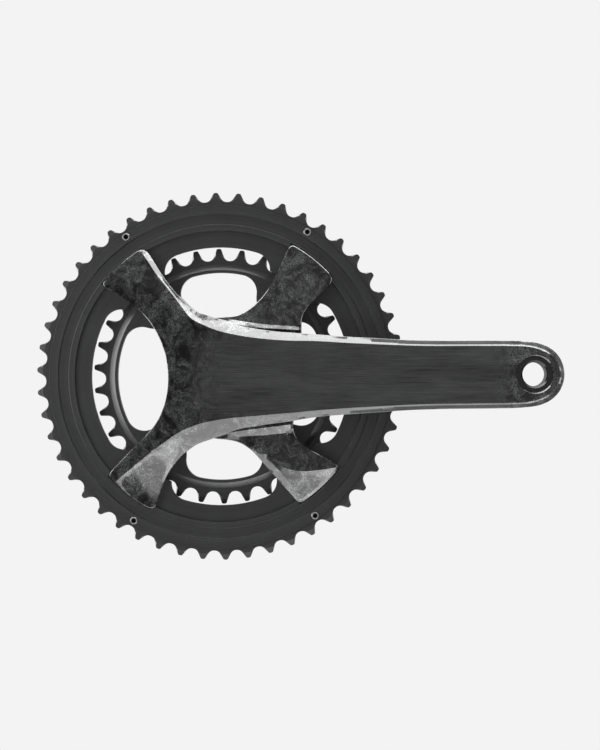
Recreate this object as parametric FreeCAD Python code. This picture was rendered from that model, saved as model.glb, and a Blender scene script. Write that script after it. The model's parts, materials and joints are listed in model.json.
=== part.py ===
"""Drive-side half of a double road crankset.

The crank arm points forward along +X, the bike's far side is +Y and up is +Z. The origin is on the
axle's line, in the bike's centre plane, where this half of the axle meets the other half.
All sizes are in millimetres. "Height" below means distance out of the big chainring's middle
plane, towards the rider's foot, which is -Y.
"""
import FreeCAD, Part

import math
import os

os.makedirs("parts", exist_ok=True)

V = FreeCAD.Vector

# ---- driving sizes ----------------------------------------------------------------------------

# Crank geometry
crank_length = 172.5
q_factor = 145.5
chainline = 45.5
ring_spacing = 7.0

# Chain and sprockets
chain_pitch = 12.7
roller_r = 3.97
seat_half_angle = 62.0
tooth_thickness = 2.0
tooth_tip_thickness = 0.9
tooth_bevel_depth = 3.1
flank_bevel = 0.75
flank_bevel_depth = 0.6
tip_flank_share = 0.4
tip_arch_share = 0.12

big_teeth = 50
big_tip_above_pitch = 1.2
big_tip_width = 2.3
big_first_tooth = 91.2
big_plate_back = 1.6

small_teeth = 34
small_tip_above_pitch = 2.75
small_tip_width = 2.6
small_first_tooth = 90.85
small_plate_front = 2.6
small_plate_back = 1.5
small_cone_in = 2.1
small_cone_width = 3.1

# Big chainring face: rings of lands and channels, measured in from the tooth roots
land_height = 1.9
inner_land_height = 2.2
channel_height = 1.3
flange_height = 0.9
outer_land_in = 1.7
outer_land_width = 5.4
channel_width = 5.2
inner_land_width = 4.2
step_bevel = 0.5
outer_step_bevel = 0.15
plate_back_bevel = 1.5

# Bolt circles: four bolts for each ring, 50 degrees each side of the spider's axis
big_bolt_circle = 145.0
small_bolt_circle = 112.0
spider_half_angle = 49.9
spider_phase = 1.5
bolt_r = 4.0
bolt_head_r = 6.2
bolt_head_height = 2.3
bolt_hole_clearance = 0.2
socket_r = 2.4
socket_depth = 1.7
socket_lobe_r = 0.67
socket_lobes = 6
bolt_head_chamfer = 0.7
end_chamfer = 0.5
fine_chamfer = 0.3
overshoot = 0.5
insert_wall = 1.6
big_insert_length = 3.6
small_insert_length = 7.5
insert_end = 0.8

# Where the chainrings' windows end beside each bolt
big_tab_r = 17.5
small_tab_r = 15.0
tab_fillet_r = 10.0
big_window_in = 0.6
small_window_out = 2.1
tab_step_clearance = 0.3
tab_step_in = 8.0

# Pins riveted into the big chainring
pin_spread = 32.6
pin_shank_r = 1.6
pin_head_r = 2.1
pin_head_height = 0.35
pin_dimple_r = 1.35
pin_foot_r = 3.0
pin_foot_height = 1.8
guard_pin_r = 2.6
guard_pin_shank_r = 1.6
guard_pin_height = 4.2
guard_pin_chamfer = 0.6
pin_offset = -0.3
pin_head_bevel = 0.25
pin_dimple_taper = 0.3
pin_dimple_depth = 0.9

# Carbon spider
arm_tip_beyond_bolt = 11.0
tip_half_angle = 9.9
tip_corner_r = 2.2
tip_height = 5.9
tip_pocket_clearance = 0.35
hub_height = 20.0
spider_below_face = 0.5
rear_arm_drop = 5.0
cone_start_r = 20.0
window_arc_r = 28.4
window_arc_offset = 62.0
left_window_r = 48.4
left_window_offset = 76.2
web_reach = 42.5
web_corner = 34.5

# Carbon crank arm
arm_half_width = 18.4
arm_half_width_hub = 25.6
arm_taper_start = 46.0
arm_taper_end = 112.0
face_inset = 2.9
face_inset_depth = 2.6
arm_end_r = 17.0
arm_end_start = 12.0
arm_end_ease = 0.35
hub_side_share = 0.9
taper_waist_share = 0.24
arm_thickness = 14.0
arm_back_start = 9.0
back_inset = 3.0
back_inset_depth = 3.0

# Pedal thread insert
pedal_thread_r = 6.6
pedal_chamfer = 1.0
insert_flange_r = 9.9
insert_flange_depth = 2.2
insert_body_r = 8.8
insert_recess = 0.5
insert_rear_proud = 0.3
eye_chamfer = 0.7

# Axle half
axle_r = 12.5
axle_bore_r = 9.5
axle_web_length = 20.0
axle_thread_r = 5.5
axle_end_y = -63.0
spline_teeth = 36
spline_inner_r = 8.5
spline_depth = 1.5
sleeve_wall = 3.5
sleeve_end_gap = 0.5

# Ball bearing on the axle
bearing_centre_y = -38.0
bearing_width = 6.0
bearing_section = 6.0
ball_r = 1.5875
ball_count = 21
ball_clearance = 0.03
race_shoulder = 1.4
groove_conformity = 1.02
cage_half_depth = 0.95
cage_back = 2.15
cage_front = 1.1
pocket_clearance = 0.05
seal_thickness = 0.5
seal_recess = 0.7
seal_groove = 0.5
seal_gap = 0.06
spacer_wall = 1.7
shield_thickness = 1.0
shield_reach = 3.6
shield_gap = 0.6
clip_thickness = 1.2
clip_depth = 0.8
clip_proud = 1.1
clip_gap_angle = 40.0
clip_side_gap = 0.05

# ---- sizes that follow ------------------------------------------------------------------------

big_y = -(chainline + ring_spacing / 2)
small_y = -(chainline - ring_spacing / 2)
pedal_face_y = -q_factor / 2

big_pitch_r = chain_pitch / (2 * math.sin(math.pi / big_teeth))
small_pitch_r = chain_pitch / (2 * math.sin(math.pi / small_teeth))
big_root_r = big_pitch_r - roller_r
small_root_r = small_pitch_r - roller_r

big_bolt_r = big_bolt_circle / 2
small_bolt_r = small_bolt_circle / 2
spider_angles = [
    spider_phase + spider_half_angle,
    180 + spider_phase - spider_half_angle,
    180 + spider_phase + spider_half_angle,
    360 + spider_phase - spider_half_angle,
]

tab_step_r = big_bolt_r - tab_step_in
small_front_height = -ring_spacing + small_plate_front
small_back_height = -ring_spacing - small_plate_back
hub_back_y = big_y - small_front_height
arm_tip_r = big_bolt_r + arm_tip_beyond_bolt

bearing_inner_y = bearing_centre_y + bearing_width / 2
bearing_outer_y = bearing_centre_y - bearing_width / 2
bearing_outer_r = axle_r + bearing_section
ball_circle_r = (axle_r + bearing_outer_r) / 2

pin_r = big_root_r - outer_land_in - outer_land_width / 2 + 1.0


# ---- helpers ----------------------------------------------------------------------------------

def at(r, angle, y):
    """Point at a radius and an angle about the axle, in the plane at y."""
    a = math.radians(angle)
    return V(r * math.cos(a), y, r * math.sin(a))


def tube(r_out, r_in, y0, y1, x=0.0, z=0.0):
    """Straight tube along Y between y0 and y1; a rod when r_in is 0."""
    low, high = min(y0, y1), max(y0, y1)
    solid = Part.makeCylinder(r_out, high - low, V(x, low, z), V(0, 1, 0))
    if r_in > 0:
        solid = solid.cut(Part.makeCylinder(r_in, high - low + 2, V(x, low - 1, z), V(0, 1, 0)))
    return solid


def turned(profile):
    """Solid turned about the axle from (radius, y) corners."""
    points = [V(r, y, 0) for r, y in profile]
    wire = Part.makePolygon(points + [points[0]])
    return Part.Face(wire).revolve(V(0, 0, 0), V(0, 1, 0), 360)


def turned_by_height(profile):
    """The same, from (radius, height out of the big ring's middle plane) corners."""
    return turned([(r, big_y - h) for r, h in profile])


def prism(edges, y0, y1):
    """Solid between two Y planes over a closed outline drawn at y = 0."""
    face = Part.Face(Part.Wire(edges))
    low, high = min(y0, y1), max(y0, y1)
    solid = face.extrude(V(0, high - low, 0))
    solid.translate(V(0, low, 0))
    return solid


def line(a, b):
    return Part.LineSegment(a, b).toShape()


def arc(a, b, c):
    return Part.Arc(a, b, c).toShape()


def moved(shape, r, angle, y=0.0):
    """Copy of a shape drawn on the axle's line, moved out to a radius and an angle."""
    copy = shape.copy()
    copy.translate(at(r, angle, y))
    return copy


def save(name, solids, merge_faces=True):
    """One STEP file per node; repeated pieces share a node as separate solids."""
    solids = solids if isinstance(solids, list) else [solids]
    shapes = [s.removeSplitter() for s in solids] if merge_faces else solids
    shape = shapes[0] if len(shapes) == 1 else Part.makeCompound(shapes)
    count = len(shape.Solids)
    volume = sum(s.Volume for s in shape.Solids)
    print(f"{name:22s} solids {count:3d}  valid {shape.isValid()}  volume {volume:10.1f}")
    shape.exportStep(f"parts/{name}.step")


# ---- chainrings -------------------------------------------------------------------------------

def tooth_outline(teeth, pitch_r, tip_r, tip_width, first_tooth, y, narrower):
    """Closed outline of a sprocket at y: roller seats, straight flanks and arched tips.

    Each tooth can be drawn narrower by a width on each flank, with its seats as deep as before.
    """
    step = 360 / teeth
    slim = math.degrees(narrower / pitch_r)
    tip_half = math.degrees((tip_width / 2 - tip_flank_share * narrower) / tip_r)
    corner_r = tip_r - tip_width * tip_arch_share
    reach = math.radians(seat_half_angle)
    flank_r = math.hypot(pitch_r - roller_r * math.cos(reach), roller_r * math.sin(reach))
    flank_turn = math.degrees(math.atan2(roller_r * math.sin(reach), pitch_r - roller_r * math.cos(reach)))
    edges = []
    for k in range(teeth):
        gap = first_tooth + (k + 0.5) * step
        tip = gap + step / 2
        seat_start = at(flank_r, gap - flank_turn - slim, y)
        seat_end = at(flank_r, gap + flank_turn + slim, y)
        near = at(corner_r, tip - tip_half, y)
        far = at(corner_r, tip + tip_half, y)
        edges.append(arc(seat_start, at(pitch_r - roller_r, gap, y), seat_end))
        edges.append(line(seat_end, near))
        edges.append(arc(near, at(tip_r, tip, y), far))
        edges.append(line(far, at(flank_r, gap + step - flank_turn - slim, y)))
    return Part.Wire(edges)


def toothed_blank(teeth, pitch_r, tip_r, tip_width, first_tooth, middle_y):
    """Toothed bar along the axle whose flanks are bevelled near both faces of the plate."""
    half = tooth_thickness / 2
    levels = [
        (-5, flank_bevel),
        (-half, flank_bevel),
        (-half + flank_bevel_depth, 0),
        (half - flank_bevel_depth, 0),
        (half, flank_bevel),
        (5, flank_bevel),
    ]
    wires = []
    for offset, narrower in levels:
        y = middle_y + offset
        wires.append(tooth_outline(teeth, pitch_r, tip_r, tip_width, first_tooth, y, narrower))
    return Part.makeLoft(wires, True, True)


def window_outline(window_r, bolt_circle_r, tab_r):
    """Inner edge of a chainring: four windows, each filleted into the tabs beside it."""
    fillet_centre_r = window_r - tab_fillet_r
    reach = tab_r + tab_fillet_r
    squares = fillet_centre_r ** 2 + bolt_circle_r ** 2 - reach ** 2
    spread = math.degrees(math.acos(squares / (2 * fillet_centre_r * bolt_circle_r)))
    edges = []
    for k, angle in enumerate(spider_angles):
        after = spider_angles[(k + 1) % 4] + (360 if k == 3 else 0)
        bolt = at(bolt_circle_r, angle, 0)

        def fillet(side):
            """Points on the window circle, mid-fillet and on the tab's circle."""
            centre = at(fillet_centre_r, angle + side * spread, 0)
            on_window = at(window_r, angle + side * spread, 0)
            on_tab = bolt + (centre - bolt) * (tab_r / reach)
            middle = (on_window + on_tab) * 0.5 - centre
            return on_window, centre + middle * (tab_fillet_r / middle.Length), on_tab

        before_tab, before_mid, before_end = fillet(-1)
        after_tab, after_mid, after_end = fillet(1)
        edges.append(arc(before_tab, before_mid, before_end))
        edges.append(arc(before_end, at(bolt_circle_r - tab_r, angle, 0), after_end))
        edges.append(arc(after_end, after_mid, after_tab))
        window_mid = (angle + after) / 2
        next_start = at(window_r, after - spread, 0)
        edges.append(arc(after_tab, at(window_r, window_mid, 0), next_start))
    return edges


def big_chainring():
    tip_r = big_pitch_r + big_tip_above_pitch
    outer_land_r = big_root_r - outer_land_in
    channel_r = outer_land_r - outer_land_width
    inner_land_r = channel_r - channel_width
    flange_r = inner_land_r - inner_land_width
    hole_r = tab_step_r + tab_step_clearance
    half = tooth_thickness / 2
    tip_half = tooth_tip_thickness / 2
    bevel_r = tip_r - tooth_bevel_depth
    disc = turned_by_height([
        (hole_r, flange_height),
        (flange_r, flange_height),
        (flange_r + step_bevel, inner_land_height),
        (inner_land_r - step_bevel, inner_land_height),
        (inner_land_r, channel_height),
        (channel_r, channel_height),
        (channel_r + step_bevel, land_height),
        (outer_land_r - outer_step_bevel, land_height),
        (outer_land_r + outer_step_bevel, half),
        (bevel_r, half),
        (tip_r + overshoot, tip_half),
        (tip_r + overshoot, -tip_half),
        (bevel_r, -half),
        (outer_land_r, -half),
        (outer_land_r - plate_back_bevel, -big_plate_back),
        (hole_r, -big_plate_back),
    ])
    ring = disc.common(toothed_blank(big_teeth, big_pitch_r, tip_r, big_tip_width, big_first_tooth, big_y))
    windows = window_outline(big_bolt_r - big_window_in, big_bolt_r, big_tab_r)
    ring = ring.cut(prism(windows, big_y - 5, big_y + 5))
    pocket_r = arm_tip_r + tip_pocket_clearance
    pocket_half = tip_half_angle + math.degrees(tip_pocket_clearance / arm_tip_r) + 0.1
    for angle in spider_angles:
        pocket = tube(pocket_r, 0, big_y - flange_height, big_y - 5)
        wedge = Part.makePolygon([
            V(0, big_y - 5, 0),
            at(2 * pocket_r, angle - pocket_half, big_y - 5),
            at(2 * pocket_r, angle + pocket_half, big_y - 5),
            V(0, big_y - 5, 0),
        ])
        wedge = Part.Face(wedge).extrude(V(0, 10, 0))
        ring = ring.cut(pocket.common(wedge))
        ring = ring.cut(moved(tube(bolt_r + bolt_hole_clearance, 0, big_y - 6, big_y + 6), big_bolt_r, angle))
    for angle in pin_angles():
        ring = ring.cut(moved(tube(pin_shank_r, 0, big_y - 6, big_y + 6), pin_r, angle))
    ring = ring.cut(tube(guard_pin_shank_r, 0, big_y - 6, big_y + 6, x=guard_pin_x()))
    return ring


def small_chainring():
    tip_r = small_pitch_r + small_tip_above_pitch
    half = tooth_thickness / 2
    tip_half = tooth_tip_thickness / 2
    bevel_r = tip_r - tooth_bevel_depth
    middle = -ring_spacing
    cone_outer = small_root_r - small_cone_in
    cone_inner = cone_outer - small_cone_width
    hole_r = small_bolt_r - small_tab_r - 1
    disc = turned_by_height([
        (hole_r, small_front_height),
        (cone_inner, small_front_height),
        (cone_outer, middle + half),
        (bevel_r, middle + half),
        (tip_r + overshoot, middle + tip_half),
        (tip_r + overshoot, middle - tip_half),
        (bevel_r, middle - half),
        (cone_outer, middle - half),
        (cone_inner, small_back_height),
        (hole_r, small_back_height),
    ])
    blank = toothed_blank(small_teeth, small_pitch_r, tip_r, small_tip_width, small_first_tooth, small_y)
    ring = disc.common(blank)
    windows = window_outline(small_bolt_r + small_window_out, small_bolt_r, small_tab_r)
    ring = ring.cut(prism(windows, small_y - 5, small_y + 5))
    for angle in spider_angles:
        hole = tube(bolt_r + bolt_hole_clearance, 0, small_y - 6, small_y + 6)
        ring = ring.cut(moved(hole, small_bolt_r, angle))
    return ring


# ---- pins in the big chainring ----------------------------------------------------------------

def pin_angles():
    """Four shift pins, in pairs either side of the vertical."""
    middle = 90 + spider_phase + pin_offset
    return [middle - pin_spread, middle + pin_spread, middle + 180 - pin_spread, middle + 180 + pin_spread]


def guard_pin_x():
    return pin_r


def shift_pins():
    """Riveted pins that lift the chain: foot on the inner side, hollow head outside."""
    front = big_y - land_height
    back = big_y + big_plate_back
    pin = turned([
        (0, back + pin_foot_height),
        (pin_foot_r - end_chamfer, back + pin_foot_height),
        (pin_foot_r, back + pin_foot_height - end_chamfer),
        (pin_foot_r, back),
        (pin_shank_r, back),
        (pin_shank_r, front),
        (pin_head_r, front),
        (pin_head_r - pin_head_bevel, front - pin_head_height),
        (pin_dimple_r, front - pin_head_height),
        (pin_dimple_r - pin_dimple_taper, front + pin_dimple_depth),
        (0, front + pin_dimple_depth),
    ])
    return [moved(pin, pin_r, angle) for angle in pin_angles()]


def chain_guard_pin():
    """Keeps a dropped chain from jamming between the big chainring and the crank arm."""
    front = big_y - land_height
    pin = turned([
        (0, big_y + big_plate_back),
        (guard_pin_shank_r, big_y + big_plate_back),
        (guard_pin_shank_r, front),
        (guard_pin_r, front),
        (guard_pin_r, front - guard_pin_height + guard_pin_chamfer),
        (guard_pin_r - guard_pin_chamfer, front - guard_pin_height),
        (0, front - guard_pin_height),
    ])
    pin.translate(V(guard_pin_x(), 0, 0))
    return pin


# ---- chainring bolts and the inserts they screw into ------------------------------------------

def ring_bolt(seat_y, length):
    """Low-headed bolt on the axle's line; the head lies inboard of seat_y, +Y."""
    top = seat_y + bolt_head_height
    bolt = turned([
        (0, seat_y - length),
        (bolt_r - end_chamfer, seat_y - length),
        (bolt_r, seat_y - length + end_chamfer),
        (bolt_r, seat_y),
        (bolt_head_r, seat_y),
        (bolt_head_r, top - bolt_head_chamfer),
        (bolt_head_r - bolt_head_chamfer, top),
        (0, top),
    ])
    socket = tube(socket_r, 0, top - socket_depth, top + 1)
    for k in range(socket_lobes):
        lobe = tube(socket_lobe_r, 0, top - socket_depth, top + 1)
        socket = socket.fuse(moved(lobe, socket_r, 360 * k / socket_lobes))
    return bolt.cut(socket)


def ring_insert(mouth_y, length):
    """Threaded cup bonded in the spider; its mouth faces inboard, +Y."""
    cup = tube(bolt_r + insert_wall, 0, mouth_y, mouth_y - length)
    return cup.cut(tube(bolt_r, 0, mouth_y + 1, mouth_y - length + insert_end))


def big_bolt_parts():
    """Bolts and inserts of the big chainring."""
    seat = big_y + big_plate_back
    mouth = big_y - flange_height
    length = seat - mouth + big_insert_length - insert_end
    bolt = ring_bolt(seat, length)
    cup = ring_insert(mouth, big_insert_length)
    bolts = [moved(bolt, big_bolt_r, angle) for angle in spider_angles]
    return bolts, [moved(cup, big_bolt_r, angle) for angle in spider_angles]


def small_bolt_parts():
    """Bolts and inserts of the small chainring."""
    seat = big_y - small_back_height
    mouth = hub_back_y
    length = seat - mouth + small_insert_length - insert_end
    bolt = ring_bolt(seat, length)
    cup = ring_insert(mouth, small_insert_length)
    bolts = [moved(bolt, small_bolt_r, angle) for angle in spider_angles]
    return bolts, [moved(cup, small_bolt_r, angle) for angle in spider_angles]


# ---- carbon crank arm and spider --------------------------------------------------------------

def tangent_point(corner, centre, radius, side):
    """Where the line from a corner touches a circle, on its left (1) or right (-1) side."""
    away = corner - centre
    distance = away.Length
    turn = side * math.acos(radius / distance)
    c, s = math.cos(turn), math.sin(turn)
    ux, uz = away.x / distance, away.z / distance
    return centre + V(ux * c - uz * s, 0, ux * s + uz * c) * radius


def tip_corners(angle):
    """The two corners of a spider arm's tip, right-hand one first."""
    return at(arm_tip_r, angle - tip_half_angle, 0), at(arm_tip_r, angle + tip_half_angle, 0)


def rounded_tip(angle, before, after):
    """A tip's end arc with its corners rounded into the sides that lead to two given points."""
    right, left = tip_corners(angle)
    back_off = math.degrees(tip_corner_r / arm_tip_r)
    first = at(arm_tip_r, angle - tip_half_angle + back_off, 0)
    last = at(arm_tip_r, angle + tip_half_angle - back_off, 0)
    side_in = right + (before - right) * (tip_corner_r / (before - right).Length)
    side_out = left + (after - left) * (tip_corner_r / (after - left).Length)

    def corner_middle(corner, a, b):
        return corner + ((a + b) * 0.5 - corner) * (2 - math.sqrt(2))

    return [
        line(before, side_in),
        arc(side_in, corner_middle(right, side_in, first), first),
        arc(first, at(arm_tip_r, angle, 0), last),
        arc(last, corner_middle(left, last, side_out), side_out),
        line(side_out, after),
    ]


def spider_outline():
    """Outline of the four-armed spider, seen along the axle."""
    corners = [tip_corners(angle) for angle in spider_angles]
    windows = [
        (V(0, 0, window_arc_offset), window_arc_r),
        (V(-left_window_offset, 0, 0), left_window_r),
        (V(0, 0, -window_arc_offset), window_arc_r),
    ]
    web_low, web_high = V(web_reach, 0, -web_corner), V(web_reach, 0, web_corner)
    before, after = [web_high], []
    edges = [line(web_low, web_high)]
    for k, (centre, radius) in enumerate(windows):
        start = tangent_point(corners[k][1], centre, radius, -1)
        end = tangent_point(corners[k + 1][0], centre, radius, 1)
        nearest = centre - centre * (radius / centre.Length)
        edges.append(arc(start, nearest, end))
        after.append(start)
        before.append(end)
    after.append(web_low)
    for k, angle in enumerate(spider_angles):
        edges += rounded_tip(angle, before[k], after[k])
    return Part.__sortEdges__(edges)


def spider():
    """Spider arms: tall at the hub, low at the tips, stepped behind for the big chainring."""
    blank = prism(spider_outline(), big_y + 20, big_y - 40)

    def cap(at_hub):
        return turned_by_height([
            (0, small_front_height),
            (tab_step_r, small_front_height),
            (tab_step_r, flange_height),
            (arm_tip_r + 1, flange_height),
            (arm_tip_r + 1, tip_height),
            (arm_tip_r - 2, tip_height),
            (cone_start_r, at_hub),
            (0, at_hub),
        ])

    reach = 2 * arm_tip_r
    left_side = Part.makeBox(reach, 100, 2 * reach, V(-reach, big_y - 50, -reach))
    front_arms = cap(hub_height - spider_below_face).common(left_side)
    rear_arms = cap(hub_height - rear_arm_drop).cut(left_side)
    return blank.common(front_arms).fuse(blank.common(rear_arms))


def face_y(x):
    """The arm's outer face runs out from the hub to the pedal's face."""
    return big_y - hub_height + (pedal_face_y - big_y + hub_height) * x / crank_length


def back_y(x):
    """The arm's inner face."""
    hub_side = big_y - arm_back_start
    return hub_side + (pedal_face_y + arm_thickness - hub_side) * x / crank_length


def crank_wire(inset, plane):
    """Closed outline of the crank arm in a plane that may lean: hub, taper, straight, end."""
    hub = arm_half_width_hub - inset
    half = arm_half_width - inset
    end = arm_end_r - inset
    straight = crank_length - arm_end_start

    def p(x, z):
        return V(x, plane(x), z)

    round_x = crank_length + end
    shoulder = math.sqrt(0.5)
    side = half - (half - end) * arm_end_ease
    bend = (arm_taper_start + arm_taper_end) / 2
    waist = half + (hub - half) * taper_waist_share
    hub_side = hub * hub_side_share
    return Part.Wire([
        arc(p(0, hub), p(-hub, 0), p(0, -hub)),
        line(p(0, -hub), p(arm_taper_start, -hub_side)),
        arc(p(arm_taper_start, -hub_side), p(bend, -waist), p(arm_taper_end, -half)),
        line(p(arm_taper_end, -half), p(straight, -half)),
        arc(p(straight, -half), p(crank_length, -side), p(crank_length + end * shoulder, -end * shoulder)),
        arc(p(crank_length + end * shoulder, -end * shoulder), p(round_x, 0),
            p(crank_length + end * shoulder, end * shoulder)),
        arc(p(crank_length + end * shoulder, end * shoulder), p(crank_length, side), p(straight, half)),
        line(p(straight, half), p(arm_taper_end, half)),
        arc(p(arm_taper_end, half), p(bend, waist), p(arm_taper_start, hub_side)),
        line(p(arm_taper_start, hub_side), p(0, hub)),
    ])


def crank_beam():
    """The arm itself, with a bevelled outer face and a softened inner face."""
    wires = [
        crank_wire(back_inset, back_y),
        crank_wire(0, lambda x: back_y(x) - back_inset_depth),
        crank_wire(0, lambda x: face_y(x) + face_inset_depth),
        crank_wire(face_inset, face_y),
    ]
    return Part.makeLoft(wires, True, True)


def carbon_arm():
    body = spider().fuse(crank_beam())
    body = body.cut(tube(axle_r + sleeve_wall, 0, hub_back_y + 1, axle_end_y - sleeve_end_gap))
    for angle in spider_angles:
        big_hole = tube(bolt_r + insert_wall, 0, big_y + 5, big_y - flange_height - big_insert_length)
        small_hole = tube(bolt_r + insert_wall, 0, hub_back_y + 5, hub_back_y - small_insert_length)
        body = body.cut(moved(big_hole, big_bolt_r, angle))
        body = body.cut(moved(small_hole, small_bolt_r, angle))
    inner = pedal_face_y + arm_thickness
    eye = turned([
        (0, pedal_face_y - 3),
        (insert_flange_r + eye_chamfer + 3, pedal_face_y - 3),
        (insert_flange_r, pedal_face_y + eye_chamfer),
        (insert_flange_r, pedal_face_y + insert_flange_depth),
        (insert_body_r, pedal_face_y + insert_flange_depth),
        (insert_body_r, inner + 5),
        (0, inner + 5),
    ])
    eye.translate(V(crank_length, 0, 0))
    return body.cut(eye)


def pedal_insert():
    """Metal insert bonded in the arm's end, threaded for the pedal."""
    front = pedal_face_y + insert_recess
    rear = pedal_face_y + arm_thickness + insert_rear_proud
    insert = turned([
        (pedal_thread_r + pedal_chamfer, front),
        (insert_flange_r, front),
        (insert_flange_r, pedal_face_y + insert_flange_depth),
        (insert_body_r, pedal_face_y + insert_flange_depth),
        (insert_body_r, rear - fine_chamfer),
        (insert_body_r - fine_chamfer, rear),
        (pedal_thread_r + end_chamfer, rear),
        (pedal_thread_r, rear - end_chamfer),
        (pedal_thread_r, front + pedal_chamfer),
    ])
    insert.translate(V(crank_length, 0, 0))
    return insert


# ---- axle -------------------------------------------------------------------------------------

def spline_notch():
    """One V between two teeth of the axle's face spline; deeper and wider outwards."""
    half_step = math.pi / spline_teeth

    def vee(r):
        wide = 2 * r * math.tan(half_step)
        deep = 2 * spline_depth * r / axle_r
        return Part.makePolygon([
            V(r, spline_depth + 0.01, -wide / 2),
            V(r, spline_depth + 0.01, wide / 2),
            V(r, spline_depth - deep, 0),
            V(r, spline_depth + 0.01, -wide / 2),
        ])

    return Part.makeLoft([vee(spline_inner_r - 1), vee(axle_r + 1)], True, True)


def half_axle():
    """Hollow steel axle half: face spline at the middle of the bike, bonded end in the hub."""
    clip_y = bearing_inner_y + clip_side_gap
    axle = turned([
        (axle_thread_r, 0),
        (spline_inner_r, 0),
        (spline_inner_r, spline_depth),
        (axle_r - fine_chamfer, spline_depth),
        (axle_r - fine_chamfer, -2 * spline_depth),
        (axle_r, -2 * spline_depth - fine_chamfer),
        (axle_r, clip_y + clip_thickness),
        (axle_r - clip_depth, clip_y + clip_thickness),
        (axle_r - clip_depth, clip_y),
        (axle_r, clip_y),
        (axle_r, axle_end_y + end_chamfer),
        (axle_r - end_chamfer, axle_end_y),
        (axle_bore_r, axle_end_y),
        (axle_bore_r, -axle_web_length - 3),
        (axle_thread_r, -axle_web_length),
    ])
    notch = spline_notch()
    for k in range(spline_teeth):
        turn = notch.copy()
        turn.rotate(V(0, 0, 0), V(0, 1, 0), 360 * k / spline_teeth)
        axle = axle.cut(turn)
    return axle


def axle_sleeve():
    """Aluminium sleeve between the carbon hub and the steel axle."""
    return tube(axle_r + sleeve_wall, axle_r, hub_back_y, axle_end_y)


# ---- bearing ----------------------------------------------------------------------------------

def groove():
    """Ball track, as the ring that is cut from both races."""
    track_r = (ball_r + ball_clearance) * groove_conformity
    return Part.makeTorus(ball_circle_r, track_r, V(0, bearing_centre_y, 0), V(0, 1, 0))


def outer_race():
    inner_r = ball_circle_r + race_shoulder
    seat_r = inner_r + seal_groove
    race = turned([
        (seat_r, bearing_outer_y),
        (bearing_outer_r - fine_chamfer, bearing_outer_y),
        (bearing_outer_r, bearing_outer_y + fine_chamfer),
        (bearing_outer_r, bearing_inner_y - fine_chamfer),
        (bearing_outer_r - fine_chamfer, bearing_inner_y),
        (seat_r, bearing_inner_y),
        (seat_r, bearing_inner_y - seal_recess),
        (inner_r, bearing_inner_y - seal_recess),
        (inner_r, bearing_outer_y + seal_recess),
        (seat_r, bearing_outer_y + seal_recess),
    ])
    return race.cut(groove())


def inner_race():
    outer_r = ball_circle_r - race_shoulder
    race = turned([
        (axle_r, bearing_outer_y),
        (outer_r, bearing_outer_y),
        (outer_r, bearing_inner_y),
        (axle_r, bearing_inner_y),
    ])
    return race.cut(groove())


def balls():
    ball = Part.makeSphere(ball_r, V(0, bearing_centre_y, 0))
    return [moved(ball, ball_circle_r, 360 * k / ball_count) for k in range(ball_count)]


def cage():
    """One-piece crown cage: open pockets that the balls snap into."""
    ring = tube(ball_circle_r + cage_half_depth, ball_circle_r - cage_half_depth,
                bearing_centre_y - cage_front, bearing_centre_y + cage_back)
    for k in range(ball_count):
        angle = 360 * k / ball_count
        outwards = at(1, angle, 0)
        start = at(ball_circle_r - 2 * cage_half_depth, angle, bearing_centre_y)
        ring = ring.cut(Part.makeCylinder(ball_r + pocket_clearance, 4 * cage_half_depth, start, outwards))
    return ring


def seal(face_y_value, inward):
    """Rubber seal held in the outer race; its lip runs just clear of the inner race."""
    lip_r = ball_circle_r - race_shoulder + seal_gap
    seat_r = ball_circle_r + race_shoulder + seal_groove
    deep = face_y_value + inward * seal_recess
    return tube(seat_r, lip_r, deep, deep - inward * seal_thickness)


def bearing_spacer():
    """Ring between the hub and the bearing's inner race."""
    return tube(axle_r + spacer_wall, axle_r, bearing_outer_y, hub_back_y)


def dust_shield():
    """Thin ring on the spacer that covers the bearing's open side."""
    inner = axle_r + spacer_wall
    y0 = bearing_outer_y - shield_gap
    return turned([
        (inner, y0),
        (inner + shield_reach - fine_chamfer, y0),
        (inner + shield_reach, y0 - fine_chamfer),
        (inner + shield_reach, y0 - shield_thickness),
        (inner, y0 - shield_thickness),
    ])


def bearing_clip():
    """Open spring ring in the axle's groove that holds the bearing on."""
    y0 = bearing_inner_y + clip_side_gap
    ring = tube(axle_r + clip_proud, axle_r - clip_depth, y0, y0 + clip_thickness)
    far = 2 * axle_r
    gap = Part.Face(Part.makePolygon([
        V(0, y0 - 1, 0),
        at(far, 90 - clip_gap_angle / 2, y0 - 1),
        at(far, 90 + clip_gap_angle / 2, y0 - 1),
        V(0, y0 - 1, 0),
    ])).extrude(V(0, clip_thickness + 2, 0))
    return ring.cut(gap)


# ---- build ------------------------------------------------------------------------------------

big_bolts, big_inserts = big_bolt_parts()
small_bolts, small_inserts = small_bolt_parts()

save("carbon_arm", carbon_arm())
save("axle_sleeve", axle_sleeve())
save("half_axle", half_axle())
save("pedal_insert", pedal_insert())
save("big_chainring", big_chainring())
save("small_chainring", small_chainring())
save("big_ring_bolts", big_bolts)
save("small_ring_bolts", small_bolts)
save("big_ring_inserts", big_inserts)
save("small_ring_inserts", small_inserts)
save("shift_pins", shift_pins())
save("chain_guard_pin", chain_guard_pin())
save("bearing_outer_race", outer_race())
save("bearing_inner_race", inner_race())
save("bearing_balls", balls())
save("bearing_cage", cage(), merge_faces=False)
save("bearing_seal_outer", seal(bearing_outer_y, 1))
save("bearing_seal_inner", seal(bearing_inner_y, -1))
save("bearing_spacer", bearing_spacer())
save("dust_shield", dust_shield())
save("bearing_clip", bearing_clip())
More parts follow.
